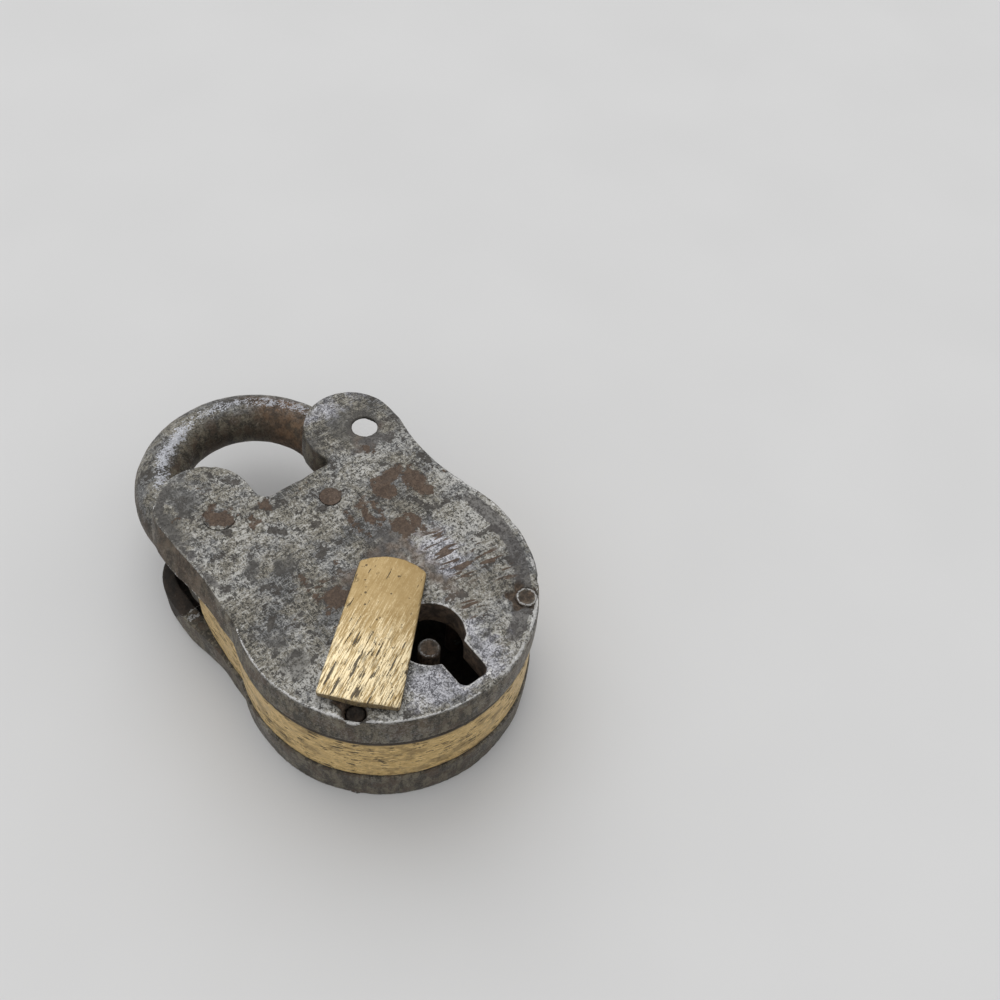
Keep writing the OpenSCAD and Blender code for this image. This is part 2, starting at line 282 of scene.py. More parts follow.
def iron(name, silver=0.0, rust=0.0, face=None, walls=True, pale_tone=BARE, inside=BROWN_SCALE):
    """Silver and rust shift their thresholds, face adds the marks of one plate, walls reads the
    numbers stored on the points, the pale tone is the colour of worn edges and, on the shackle, of
    a painted highlight, and inside holds the two colours laid inside holes: scale on most pieces,
    and painted deep shade on the back plate and the sunk rivet."""
    coat = Coat(name)
    wide = coat.grain(17, 3, 0.5)
    mottle = coat.grain(2.3, 8, 0.76)
    patch = coat.grain(5.5, 7, 0.68)
    speck = coat.grain(0.50, 3, 0.75)
    dust = coat.grain(0.30, 2, 0.6)
    lines = coat.grain(0.8, 3, 0.7, where=coat.scaled((0.22, 1.5, 1.0)))
    none = wide * 0
    edge, wall, scale_and_shade, painted_shade = (coat.painted(stored) if walls else none
                              for stored in ("edge", "wall", "scale_and_shade", "painted_shade"))

    pits = 1 - coat.grain(0.72, 4, 0.75, where=coat.scaled((1, 0.8, 1))).step(0.436, 0.448)
    across = coat.grain(0.55, 2, 0.5, where=coat.scaled((0.05, 1.3, 1.0)))
    upwards = coat.grain(0.55, 2, 0.5, where=coat.scaled((1.3, 0.07, 1.0)))
    hairs = across.highest(upwards).step(0.62, 0.66)

    zone = (wide - 0.5) * 0.22
    # On the front face the zone rises towards the lower right, which paints that side lighter:
    # painted light.
    if face:
        zone = zone + (coat.level("X") - coat.level("Y")).step(-4, 20) * 0.014
    tone = mottle * 0.36 + speck * 0.30 + dust * 0.16 + lines * 0.18
    cool = (coat.grain(11, 6, 0.7) + (speck - 0.5) * 0.3).step(0.45, 0.56)
    colour = coat.blend(WARM, COOL, cool)
    dark = 1 - (tone + zone).step(0.440, 0.478)
    colour = coat.blend(colour, DARK, dark * 0.88)
    fleck = (tone + zone * 1.2 + silver).step(0.510, 0.545)
    colour = coat.blend(colour, SILVER, fleck * 0.80)
    colour = coat.blend(colour, SILVER, hairs * 0.45)
    colour = coat.blend(colour, DARK, pits * 0.88)
    smooth = (patch - zone * 0.3).step(0.566, 0.574)
    colour = coat.blend(colour, SMOOTH, smooth * (0.68 + 0.4 * speck))

    # Painted shade: bands inside the rim and the shackle's outer side are darkened here.
    shadow = (painted_shade + (patch - 0.5) * 1.6).step(0.40, 0.60)
    colour = coat.blend(colour, SHADE_GREY, shadow * (0.45 + 0.55 * speck))
    islands = (coat.grain(9, 8, 0.66) + (speck - 0.5) * 0.06 + rust).step(0.655, 0.665)
    polish = none
    if face:
        islands, polish, colour = face(coat, islands, colour, mottle, speck, patch)
    rusty = coat.blend(*RUST, (mottle * 0.6 + speck * 0.4).step(0.44, 0.60))
    colour = coat.blend(colour, rusty, islands * 0.95)

    # The walls get painted shade, mixed with real upright streaks and rust.
    upright = coat.grain(2.6, 7, 0.72, where=coat.scaled((1.0, 1.0, 0.35)))
    shaded_side = coat.blend(*SHADED_SIDE_TONES, (upright * 0.7 + speck * 0.3).step(0.45, 0.57))
    shaded_side = coat.blend(shaded_side, RUSTY_SIDE, (coat.grain(6, 6, 0.7) + rust).step(0.50, 0.58) * 0.75)
    colour = coat.blend(colour, shaded_side, wall * (0.97 - fleck * 0.25))
    # Inside holes this lays scale, and with the deep shade tones painted deep shade.
    scale = coat.blend(*inside, (patch * 0.4 + mottle * 0.6).step(0.44, 0.58))
    colour = coat.blend(colour, scale, scale_and_shade * 0.97)
    # Bright numbers lay worn metal here, and on the shackle a painted highlight.
    broken = (mottle - 0.5) * 1.3 + (speck - 0.5) * 1.3 + (lines - 0.5) * 0.8
    bright = (edge + broken).step(0.62, 0.74)
    colour = coat.blend(colour, pale_tone, bright * (0.35 + speck))

    dull = islands.highest(scale_and_shade)
    rough = 0.52 - fleck * 0.08 - bright * 0.10 - polish * 0.08 + dull * 0.28 + dark * 0.08
    metal = 0.35 + fleck * 0.15 + bright * 0.15 - dull * 0.33
    height = tone * 1.2 - dark * 0.25 - pits * 0.5 + fleck * 0.12 + islands * 0.3 - smooth * 0.2
    return coat.finish(colour, rough, metal, height, depth=0.16)


# %% [markdown]
# The front face has marks of its own: rust patches with some bare spots in them, short worn
# strokes that rust has filled, a brown zone that the cover has rubbed smooth, and bright bare
# metal round the keyhole. The strokes are thresholds of stretched noise, kept inside soft
# areas. Each patch below is given as x, y, half width and half height.

# %% Marks of the front face
RUST_PATCHES = ((-24.0, 46.6, 3.5, 4.6), (-16.8, 38.0, 1.5, 0.9), (-11.6, 42.4, 1.9, 2.0),
                (5.1, 33.7, 2.7, 2.7), (24.0, 42.2, 1.7, 1.9), (19.5, 27.0, 3.6, 4.6),
                (28.0, 23.0, 3.4, 6.2), (24.5, 29.6, 5.0, 2.2), (11.2, 22.5, 2.6, 5.6),
                (15.6, 13.0, 2.8, 4.4), (19.4, 12.5, 2.0, 4.0), (5.0, 21.0, 0.9, 3.6),
                (-13.5, 4.5, 4.0, 3.2), (-17.5, 9.0, 1.0, 5.5))
BARE_PATCHES = ((-22.0, 48.6, 2.1, 1.7), (11.8, 23.0, 1.0, 3.4), (23.2, 23.0, 1.1, 3.8),
                (25.6, 20.6, 0.8, 2.6))
BROWN_PATCHES = ((-5, 4, 12, 5), (8.5, 9.0, 6, 6), (13.5, -3, 3.5, 8), (26.5, 45.5, 6, 2.5))
GREY_PATCHES = ((26, 51, 8.0, 9.0), (-37, 50, 3.5, 9), (-30, 62, 7, 3), (-26, 24, 3.0, 3.2),
                (-33, -6, 4, 4), (-27, -19, 4, 3), (10, 52, 4, 6), (-18.5, 22, 3, 3.2),
                (-33, 2.5, 3, 3), (-29, 56, 4, 4))
BRIGHT_PATCHES = ((2, -36, 10, 5), (-9, -33, 6, 6), (8, -34, 5, 3), (23, 62, 7, 2.5),
                  (20, 0, 5, 8), (9, -25, 2.5, 3.5))
STROKES = ((20.0, -3.0, 4.5, 12.5), (14.5, -20.0, 3.0, 5.0), (-15.0, 7.0, 4.0, 6.0),
           (28, -12, 4, 8))
DULL_GREY = (0.078, 0.074, 0.068)
RUBBED_BROWN = (0.080, 0.073, 0.070), (0.130, 0.096, 0.072)
BARE_METAL = (0.115, 0.115, 0.130), (0.54, 0.54, 0.58)


def any_of(coat, patches, ragged, soft):
    """1 inside any of the round or long patches."""
    inside = None
    for x, y, wide, tall in patches:
        size = min(wide, tall)
        one = coat.spot(x, y, size, ragged, soft, (size / wide, size / tall))
        inside = one if inside is None else inside.highest(one)
    return inside


def front_marks(coat, islands, colour, mottle, speck, patch):
    """The rust, the rubbed zones and the colour of the front face."""
    ragged = (coat.grain(2.6, 6, 0.7) - 0.5) * 9
    loose = (patch - 0.5) * 16
    grey = any_of(coat, GREY_PATCHES, loose, 1.6)
    colour = coat.blend(colour, DULL_GREY, grey * (0.35 + 0.6 * speck))
    soft = any_of(coat, BROWN_PATCHES, loose, 2.0)
    brown = coat.blend(*RUBBED_BROWN, coat.grain(8, 2).step(0.45, 0.58))
    colour = coat.blend(colour, brown, soft * (0.55 + 0.5 * speck))
    pale_tone = any_of(coat, BRIGHT_PATCHES, loose, 2.5)
    metal = coat.blend(*BARE_METAL, (speck * 0.5 + mottle * 0.5).step(0.45, 0.55))
    colour = coat.blend(colour, metal, pale_tone * 0.85)
    cleared = any_of(coat, BARE_PATCHES, ragged * 0.6, 0.25)
    rusty = any_of(coat, RUST_PATCHES, ragged, 0.25) * (1 - cleared)
    strokes = coat.grain(2.1, 2, 0.4, where=coat.stretched(-12, (0.36, 1.9, 1.0)), warp=0.3)
    strokes = (strokes + (speck - 0.5) * 0.10).step(0.545, 0.560)
    strokes = strokes * any_of(coat, STROKES, loose * 0.4, 1.0)
    return islands.highest(rusty).highest(strokes), soft.highest(pale_tone), colour


# %% [markdown]
# ## Old brass
# The rim and the cover are yellow brass that has been scoured along its length. Stretched noise
# gives the scratches, and dirt stays in the deeper ones. The cover is most scored at its free end,
# which fingers push, and a highlight is painted on that end; its side faces get painted shade. The
# rim gets painted shade along the plates, a painted shadow line at each seam, and stains of grime.

# %% Brass
BRASS_DIRT = (0.040, 0.029, 0.018)
# A near black for the painted shadow line at each seam.
SEAM_SHADOW = (0.030, 0.021, 0.012)
RIM_TONES = (0.25, 0.160, 0.050), (0.60, 0.405, 0.140), (0.80, 0.60, 0.29)
COVER_TONES = (0.30, 0.203, 0.080), (0.40, 0.285, 0.130), (0.80, 0.67, 0.43)
# Dark brass tones, darkened as painted shade for the parts inside.
SHADED_DULL_TONES = (0.10, 0.068, 0.03), (0.20, 0.14, 0.065), (0.27, 0.20, 0.10)
SCORED_FROM, SCORED_TO = 4, 31


def brass(name, tones, turn=0, squeeze=(0.30, 0.30, 2.2), worn=None, nicks=0.15):
    """Tones are the dull, the middle and the bright colour. Worn gives how bright and how scored
    each place is, how much painted shade and grime darken it, and where the painted shadow line of
    the seam lies. Nicks is for the fine dark cuts."""
    dull, middle, shiny = tones
    coat = Coat(name)
    cloud = coat.grain(5, 6, 0.7)
    fine = coat.grain(0.5, 3, 0.65)
    along = coat.stretched(turn, squeeze)
    scored = coat.grain(0.6, 4, 0.7, where=along)
    gouged = coat.grain(1.6, 4, 0.62, where=along) + (coat.grain(5, 3, 0.5) - 0.5) * 0.35
    shine, marks, shade_and_grime, seam_shadow = worn(coat, cloud) if worn else (cloud * 0,) * 4
    thin = coat.grain(0.42, 3, 0.6, where=along)
    lines = (scored - 0.5) * (0.24 + marks)
    # Shine lightens the colour; towards the cover's free end it is a painted highlight along with
    # the scoring.
    light = ((cloud - 0.5) * 0.5 + lines * 0.7 + shine * 0.10).step(-0.07, 0.07)
    colour = coat.blend(dull, middle, light)
    glint = (lines + (fine - 0.5) * 0.15 + shine * 0.11 - 0.03).step(-0.03, 0.13)
    colour = coat.blend(colour, shiny, glint)
    # Painted shade darkens the colour here, and on the rim grime stains do too.
    shade_and_grime_tone = (dull[0] * 0.40, dull[1] * 0.38, dull[2] * 0.40)
    colour = coat.blend(colour, shade_and_grime_tone, shade_and_grime * 0.8)
    dark = (gouged + (fine - 0.5) * 0.15 + marks * 0.060).step(0.650, 0.680)
    pits = (1 - (coat.cells(2.4) + (fine - 0.5) * 0.2).step(0.08, 0.18)) * cloud.step(0.48, 0.54)
    cuts = (thin + marks * 0.02).step(0.585, 0.625) * marks * nicks
    dark = dark.highest(pits * 0.8).highest(cuts)
    colour = coat.blend(colour, BRASS_DIRT, dark * 0.88)
    # The seams get a painted shadow line.
    colour = coat.blend(colour, SEAM_SHADOW, seam_shadow)
    rough = 0.42 + (cloud - 0.5) * 0.3 + dark * 0.3 + shade_and_grime * 0.15 - shine * 0.06
    metal = 0.55 - dark * 0.4 - shade_and_grime * 0.2
    height = lines * 0.6 - dark * 0.8 + (fine - 0.5) * 0.15
    return coat.finish(colour, rough, metal, height, depth=0.12)


def cover_wear(coat, cloud):
    """Scored towards the free end, which lies to the lower left, with a highlight painted there
    too. The side faces get painted shade.
    """
    out = coat.level("X") * -0.755 + coat.level("Y") * -0.656
    share = (out + (cloud - 0.5) * 16).step(SCORED_FROM, SCORED_TO)
    return share, share, coat.painted("wall"), share * 0


def rim_wear(coat, cloud):
    """Scored all over, with painted shade along both plates, stains of grime, and a thin painted
    shadow line at each seam.
    """
    z = coat.level("Z")
    loose = z + (cloud - 0.5) * 5
    stains = coat.grain(5, 5, 0.7, where=coat.scaled((0.5, 0.5, 1))).step(0.51, 0.60) * 0.6
    # Painted shade along both plates, where they overhang the rim.
    plate_shade = (1 - (loose - back_z).step(-0.5, 1.8)).highest((loose - front_z + 4.2).step(0, 3.2))
    seam_shadow = (1 - (z - back_z).step(0.25, 0.5)).highest((z - front_z).step(-2.35, -2.05))
    return cloud * 0 + 0.5, cloud.step(0.46, 0.56) * 1.35, plate_shade.highest(stains), seam_shadow


back_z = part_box("back_plate")[1].z / MM
front_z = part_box("front_plate")[0].z / MM
IRON_PLATE = iron("worn_iron_plate", face=front_marks, pale_tone=BARE_FACE)
IRON_BACK = iron("worn_iron_back", silver=-0.02, inside=DEEP_SHADE)
IRON_BAR = iron("forged_iron_bar", silver=-0.02, rust=0.02, pale_tone=BAR_HIGHLIGHT, inside=ORANGE_SCALE)
BRASS_RIM = brass("scoured_brass_rim", RIM_TONES, worn=rim_wear)
BRASS_COVER = brass("scratched_brass_cover", COVER_TONES, turn=28, squeeze=(0.13, 1.5, 1.0),
                    worn=cover_wear, nicks=0.45)

# %% [markdown]
# ## Outline of the case
# Wear follows the edge of the plates, so the script needs to know how far a point lies
# inside that edge. The outline is built from circles and boxes, and the distance to each is
# simple: joining two shapes takes the smaller distance, and cutting takes the larger.

# %% Distance inside the outline
body_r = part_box("front_plate")[1].x / MM
top_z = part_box("front_plate")[1].z / MM
ear_x, ear_y, ear_r, notch_y = 25.3, 52.5, 15.2, 45.3
neck_y, right_neck_r, left_neck_r = 31, 60, 110
necks = ((38.6 + right_neck_r, neck_y, right_neck_r), (-40 - left_neck_r, neck_y, left_neck_r))
print("body radius", round(body_r, 2), "and height", round(top_z, 2), "mm")


def depth_inside(x, y):
    """Millimetres from a point to the outline: more than 0 inside, less than 0 outside."""
    def circle(cx, cy, r):
        return np.hypot(x - cx, y - cy) - r

    block = np.maximum(abs(x) - ear_x - ear_r, np.maximum(-y, y - ear_y))
    whole = np.minimum(circle(0, 0, body_r), block)
    whole = np.minimum(whole, np.minimum(circle(-ear_x, ear_y, ear_r), circle(ear_x, ear_y, ear_r)))
    for cx, cy, r in necks:
        whole = np.maximum(whole, -circle(cx, cy, r))
    notch = np.maximum(abs(x - ear_r / 2) - ear_x + ear_r / 2, notch_y - y)
    whole = np.maximum(whole, -notch)
    return -np.minimum(whole, circle(ear_x, ear_y, ear_r))


# %% [markdown]
# Four small shapes do the rest: a smooth rise, a smooth hump round a line or a place, and
# hills of noise.

# %% Rises, humps and hills
def rise(value, low, high):
    """0 below low, 1 above high and a smooth rise between them."""
    t = np.clip((value - low) / (high - low), 0, 1)
    return t * t * (3 - 2 * t)


def near(distance, width):
    """1 where distance is 0, fading to 0 on both sides over about that width."""
    return np.exp(-(distance / width) ** 2)


def near_place(p, x, y, size):
    """1 at a place on the face, fading to 0 over about that many millimetres."""
    return np.exp(-((p[:, 0] - x) ** 2 + (p[:, 1] - y) ** 2) / size ** 2)


def hills(points, size, seed):
    """Smooth noise from -1 to 1 on an array of points, in lumps of that many millimetres."""
    shift = Vector((7.3, 1.9, 4.1)) * seed
    return np.array([noise.noise(Vector(p) / size + shift) for p in points])


# %% [markdown]
# ## From a CAD solid to a worn piece
# A copy of the solid keeps every opening in its place. Its sharp rims are bevelled, a voxel
# remesh turns it into an even skin, and then the points can be moved like clay.

# %% Copy, bevel, remesh, sculpt
WELD, FLAT = 0.002, math.radians(0.5)
SHARP, UPRIGHT = math.radians(50), 0.01


def solid_copy(node):
    """A copy of a CAD solid, with its flat faces joined up."""
    bm = bmesh.new()
    bm.from_mesh(frame["nodes"][node].data)
    bmesh.ops.remove_doubles(bm, verts=bm.verts, dist=WELD * MM)
    bmesh.ops.dissolve_limit(bm, angle_limit=FLAT, verts=bm.verts, edges=bm.edges)
    return bm


def bevel_where(bm, offset, chosen, segments=3, upright=False):
    """Bevels the sharp edges whose middle, in millimetres, is chosen."""
    edges = [e for e in bm.edges if e.is_manifold and e.calc_face_angle() > SHARP
             and chosen((e.verts[0].co + e.verts[1].co) / 2 / MM)
             and (not upright or (e.verts[0].co - e.verts[1].co).xy.length < UPRIGHT * MM)]
    bmesh.ops.bevel(bm, geom=edges, offset=offset * MM, offset_type="OFFSET", segments=segments,
                    profile=0.5, affect="EDGES", material=-1, clamp_overlap=True)
    return len(edges)


def piece(name, bm, body, material, replaced):
    """Turns a bmesh into a piece that rides a body in place of the replaced nodes."""
    mesh = bpy.data.meshes.new(name)
    bm.to_mesh(mesh)
    bm.free()
    made = placed(name, mesh)
    mesh.materials.append(material)
    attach(made, body)
    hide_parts(*replaced)
    return made


def reskin(obj, voxel, smooth):
    """Remeshes a piece with an even skin, eases it and keeps its material."""
    material = obj.data.materials[0]
    skin = obj.modifiers.new("skin", "REMESH")
    skin.mode, skin.voxel_size = "VOXEL", voxel * MM
    ease = obj.modifiers.new("ease", "SMOOTH")
    ease.iterations, ease.factor = smooth, 0.5
    ready = obj.evaluated_get(bpy.context.evaluated_depsgraph_get())
    mesh = bpy.data.meshes.new_from_object(ready)
    obj.modifiers.clear()
    obj.data = mesh
    mesh.materials.clear()
    mesh.materials.append(material)
    mesh.shade_smooth()


def sculpt(obj, move):
    """Gives move the points and normals in millimetres, and stores the numbers it returns."""
    mesh = obj.data
    count = len(mesh.vertices)
    points, normals = np.zeros(count * 3, np.float32), np.zeros(count * 3, np.float32)
    mesh.vertices.foreach_get("co", points)
    mesh.vertices.foreach_get("normal", normals)
    points, normals = (a.reshape(-1, 3).astype(float) for a in (points, normals))
    points, stored = move(points / MM, normals)
    mesh.vertices.foreach_set("co", (points * MM).astype(np.float32).ravel())
    for name, values in stored.items():
        layer = mesh.attributes.new(name, "FLOAT", "POINT")
        layer.data.foreach_set("value", values.astype(np.float32))
    mesh.update()
    print(obj.name, "has", count, "points")


def press(p, n, depth):
    """Moves the points in along their normals by that many millimetres each."""
    p -= n * depth[:, None]


def press_sideways(p, n, depth):
    """The same, but level with the face."""
    p[:, :2] -= n[:, :2] * depth[:, None]


# %% [markdown]
# ## Front plate
# The skirt of the plate leans in towards the face, and its rim is worn round, most of all
# round the left ear and neck. The two lower rivets sit in ragged hollows.

# %% Front plate
rivet_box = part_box("right_rim_rivet")
rivet_x, rivet_y = [(low + high) / 2 / MM for low, high in zip(*rivet_box)][:2]
rim_rivets = ((rivet_x, rivet_y), (-rivet_x, rivet_y))
hollows = ((rivet_x - 1.2, rivet_y + 0.6), (-rivet_x + 0.5, rivet_y + 2.2))
key_x, key_y, key_r, slot_x, slot_half, slot_end = 0.1, -19.8, 9.4, 1.6, 4.2, -38.0

# Round the holes no rim is bevelled. Each is given as x, y and a radius with some room.
HOLES = ((28.7, 49.8, 6), (key_x, key_y, 12.5), (key_x, -31, 9), (0.2, -1.4, 4), (5.1, 33.7, 4),
         (28.7, -26.4, 4), (-28.7, -26.4, 4), (-24, 46, 6))
WALL_SKIN = 1.4, 2.4
HOLLOW_R, HOLLOW_POINTS, HOLLOW_DEPTH = 4.5, 5, 0.9
LEFT_SIDE = -40, 34, 18
LEFT_EAR = -41, 48, 15
LEFT_NECK = -41, 40, 19
PIVOT = -24, 46, 9
KEY_CORNER = 6.8, -26, 2.6


def on_outer_rim(p):
    return all(math.hypot(p.x - x, p.y - y) > r for x, y, r in HOLES)


def from_keyhole(x, y):
    """Millimetres from a point to the keyhole's edge: less than 0 inside it."""
    slot = np.maximum(np.maximum(abs(x - slot_x) - slot_half, y - key_y), slot_end - y)
    return np.minimum(np.hypot(x - key_x, y - key_y) - key_r, slot)


def wear_front(p, n):
    """Shapes the front plate, then works out where it is worn bright, where painted shade falls on
    its walls and in bands along the rim, and where it is rusty or scaled.
    """
    d = depth_inside(p[:, 0], p[:, 1])
    key = from_keyhole(p[:, 0], p[:, 1])
    up = np.clip((p[:, 2] - front_z) / (top_z - front_z), 0, 1)
    skin = 1 - rise(d, *WALL_SKIN)
    left = near_place(p, *LEFT_SIDE)
    right = rise(p[:, 0] - 0.5 * p[:, 1], 14, 34)
    lumps = hills(p, 9, 1)
    ragged = hills(p, 1.3, 15)
    lean = (1.0 + 1.6 * left - 0.75 * right + 0.35 * lumps) * up ** 1.4
    press_sideways(p, n, lean * skin)
    press_sideways(p, n, -1.3 * near_place(p, *LEFT_EAR) * (1 - up) * skin)
    corner = near_place(p, *KEY_CORNER) * (key < 1.5)
    press_sideways(p, n, -0.7 * corner * np.maximum(hills(p * (1, 1, 0.3), 1.1, 17), -0.2))
    chips = np.maximum(hills(p, 3.2, 2) + 0.5 * lumps - 0.25, 0)
    press(p, n, near(np.maximum(d, 0), 3.2) * rise(up, 0.5, 0.9) * chips * 0.9)
    flat = 1 - near_place(p, *PIVOT)
    press(p, n, (0.10 * hills(p, 14, 3) + 0.12) * flat + 0.05 * hills(p, 2.2, 4) + 0.03)
    rusted = 0
    for x, y in hollows:
        away = np.hypot(p[:, 0] - x, p[:, 1] - y)
        angle = np.arctan2(p[:, 1] - y, p[:, 0] - x)
        star = HOLLOW_R + 0.9 * np.cos(HOLLOW_POINTS * angle + 0.8) + 0.6 * ragged
        hollow = (1 - rise(away, star - 1.0, star)) * (up > 0.7)
        p[:, 2] -= HOLLOW_DEPTH * hollow
        rusted = np.maximum(rusted, hollow)

    line = 1.15 + 1.2 * left + 0.25 * ragged
    worn = near(d - line, 0.8 + 0.25 * ragged) * rise(up, 0.75, 0.95)
    lower, upper = rise(-p[:, 1], -5, 30), rise(p[:, 1], 10, 35)
    worn *= 0.50 + 0.9 * hills(p, 5, 16) + 0.45 * lower - 0.5 * upper
    lip = near(key - 0.35, 0.55) * (n[:, 2] > 0.3) * (up > 0.9) * (0.95 + 0.5 * ragged)
    neck = near_place(p, *LEFT_NECK)
    foot = near(up - 0.05, 0.07) * skin * neck * (0.65 + 0.5 * ragged)
    on_ear = rise(p[:, 1], 40, 48) * rise(-p[:, 0], 20, 32)
    ear_line = near(d - 1.3, 0.4) * on_ear * (up > 0.6) * (0.62 + 0.5 * ragged)
    turn = np.arctan2(p[:, 1], p[:, 0])
    # Bands of painted shade inside the rim: one along the lower right, others on the left neck and
    # ear.
    shade_band = rise(d, 2.2, 3.2) * (1 - rise(d, 5.5, 8.5))
    shade_band *= rise(turn, -1.30, -1.00) * (1 - rise(turn, 0.1, 0.5))
    shaded = rise(d, 1.6, 2.2) * (1 - rise(d, 3.5, 6.0))
    shaded *= np.maximum(rise(neck, 0.3, 0.6) * 0.6, on_ear * 0.8)
    # The walls get painted shade.
    wall = (1 - rise(n[:, 2], 0.15, 0.6)) * (d < 2.6 + 1.5 * left)
    rusted = np.maximum(rusted, wall * rise(neck, 0.35, 0.8) * 0.62)
    inside = (key < 1) * (1 - rise(n[:, 2], 0.2, 0.6)) + (up < 0.9) * (d > 3.2)
    return p, {"edge": np.clip(np.maximum.reduce((worn, lip, foot, ear_line)), 0, 1),
               "wall": wall,
               "scale_and_shade": np.clip(np.maximum(inside, rusted), 0, 1),
               "painted_shade": np.maximum(shade_band, shaded) * (up > 0.8)}


bm = solid_copy("front_plate")
count = bevel_where(bm, 2.0, lambda p: p.z > top_z - 0.1 and on_outer_rim(p))
print(count, "edges of the front plate's rim are bevelled")
front = piece("front_plate_worn", bm, "case", IRON_PLATE, ["front_plate"])
reskin(front, voxel=0.5, smooth=3)
sculpt(front, wear_front)

# %% [markdown]
# ## Back plate
# It is made as the front plate is. Its left ear reaches out further, and the inside of the case and
# of that ear is painted in deep shade.

# %% Back plate
BACK_EAR = -41, 46, 16


def wear_back(p, n):
    """Shapes the back plate, then works out where it is bright, where its walls get painted shade,
    and where its inside and left ear get painted deep shade.
    """
    d = depth_inside(p[:, 0], p[:, 1])
    down = np.clip(1 - p[:, 2] / back_z, 0, 1)
    skin = 1 - rise(d, *WALL_SKIN)
    lean = (0.45 + 0.3 * hills(p, 10, 5)) * down ** 1.6
    press_sideways(p, n, lean * skin)
    press_sideways(p, n, -2.25 * near_place(p, *BACK_EAR) * skin)
    press(p, n, 0.12 * hills(p, 12, 6) + 0.06 * hills(p, 2.4, 7) + 0.13)

    worn = near(d - 1.4, 0.8) * rise(down, 0.7, 0.95)
    # The lip is a painted highlight along the skirt's top rim.
    lip = near(d - 0.5, 0.6) * (n[:, 2] > 0.2) * (down < 0.3)
    # The walls get painted shade.
    wall = (1 - rise(-n[:, 2], 0.25, 0.7)) * (d < 2.6)
    # The inside of the case and the left ear behind the shackle are painted in deep shade, and
    # shore is a pale line along that shade's edge.
    inner = (d > 3.2) * (p[:, 2] > 2.5)
    shore = p[:, 2] - back_z * (1 - rise(p[:, 1], 42, 53)) + 0.8 * hills(p, 2.0, 20)
    shaded_ear = rise(shore, -0.3, 0.3) * (p[:, 0] < -20) * (p[:, 1] > 40)
    shore = near(shore, 0.5) * (p[:, 0] < -30) * (p[:, 1] > 40)
    return p, {"edge": np.maximum.reduce((worn * 0.6, lip * 0.3, shore * 0.8)), "wall": wall,
               "scale_and_shade": np.maximum(inner, shaded_ear)}


bm = solid_copy("back_plate")
bevel_where(bm, 2.0, lambda p: p.z < 0.1 and on_outer_rim(p), segments=4)
back = piece("back_plate_worn", bm, "case", IRON_BACK, ["back_plate"])
reskin(back, voxel=0.55, smooth=3)
sculpt(back, wear_back)

# %% [markdown]
# ## Brass rim
# The rim is a bent strip. The lower corners of its ends are rounded off, its edges are eased,
# and it has a few shallow dents.

# %% Brass rim
END_R, END_STEPS = 11, 6


def wear_rim(p, n):
    press(p, n, 0.12 * hills(p, 11, 8) + 0.04 * hills(p, 2.0, 9) + 0.1)
    return p, {}


def round_ends(bm, radius, steps):
    """Cuts the lower corner of both ends to an arc, one flat after another."""
    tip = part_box("brass_rim")[1].y / MM
    middle = Vector((0, tip - radius, back_z + radius))
    for i in range(1, steps):
        angle = math.pi / 2 * i / steps
        out = Vector((0, math.cos(angle), -math.sin(angle)))
        cut = bmesh.ops.bisect_plane(bm, geom=bm.verts[:] + bm.edges[:] + bm.faces[:],
                                     dist=1e-7, plane_co=(middle + out * radius) * MM,
                                     plane_no=out, clear_outer=True)
        open_edges = [g for g in cut["geom_cut"] if isinstance(g, bmesh.types.BMEdge)]
        bmesh.ops.holes_fill(bm, edges=open_edges)


bm = solid_copy("brass_rim")
round_ends(bm, END_R, END_STEPS)
bevel_where(bm, 0.5, lambda p: True, segments=2)
rim = piece("brass_rim_worn", bm, "case", BRASS_RIM, ["brass_rim"])
reskin(rim, voxel=0.55, smooth=2)
sculpt(rim, wear_rim)

# %% [markdown]
# ## Shackle
# A forged bar is never a perfect tube: the hammer leaves shallow flats. A highlight is painted
# along the crown, and the bar's sides get painted shade. Easing the skin also blends the bar into
# its eye.

# %% Shackle
LOOP_Y = 66
LIT_SIDE = 0.26, -0.04, 0.965


def wear_shackle(p, n):
    """Dents the bar, then paints a highlight streak on its crown, painted shade on its sides and
    rust on its toe.
    """
    dents = 0.22 * hills(p, 13, 10) + 0.10 * hills(p, 4, 11) + 0.04 * hills(p, 1.6, 12)
    press(p, n, dents + 0.2)
    away = p[:, :2] - (0, LOOP_Y)
    away /= np.linalg.norm(away, axis=1)[:, None]
    round_bar = np.arctan2((n[:, :2] * away).sum(1), n[:, 2])
    # The streak is a painted highlight where the bar faces LIT_SIDE, as a lamp above and behind
    # would light it.
    lit = n @ LIT_SIDE
    ragged = 0.80 + 0.3 * hills(p, 7, 18) + 0.3 * hills(p, 1.5, 19)
    highlight_streak = rise(lit, 0.80, 0.98) * rise(p[:, 1], 40, 80) * ragged
    highlight_streak += 0.22 * rise(lit, 0.94, 0.99) * rise(p[:, 1], 70, 88)
    # The bar's inner and outer sides get painted shade.
    inner = 1 - rise(round_bar, -0.75, -0.15)
    outer = rise(round_bar, 0.75, 1.3)
    toe = rise(p[:, 0], 6, 16) * (1 - rise(round_bar, 0.2, 0.7))
    return p, {"edge": np.clip(highlight_streak * 0.72, 0, 1),
               "wall": np.clip(np.maximum(inner, outer * 0.75), 0, 1),
               "scale_and_shade": np.clip(toe * 0.8, 0, 1), "painted_shade": outer * 0.4}


bm = solid_copy("shackle")
bevel_where(bm, 0.8, lambda p: True, segments=2)
shackle = piece("shackle_worn", bm, "shackle", IRON_BAR, ["shackle"])
reskin(shackle, voxel=0.5, smooth=8)
sculpt(shackle, wear_shackle)

# %% [markdown]
# ## Keyhole cover
# The cover is thin, so its skin is finer. A few nicks are pressed into its long edges.

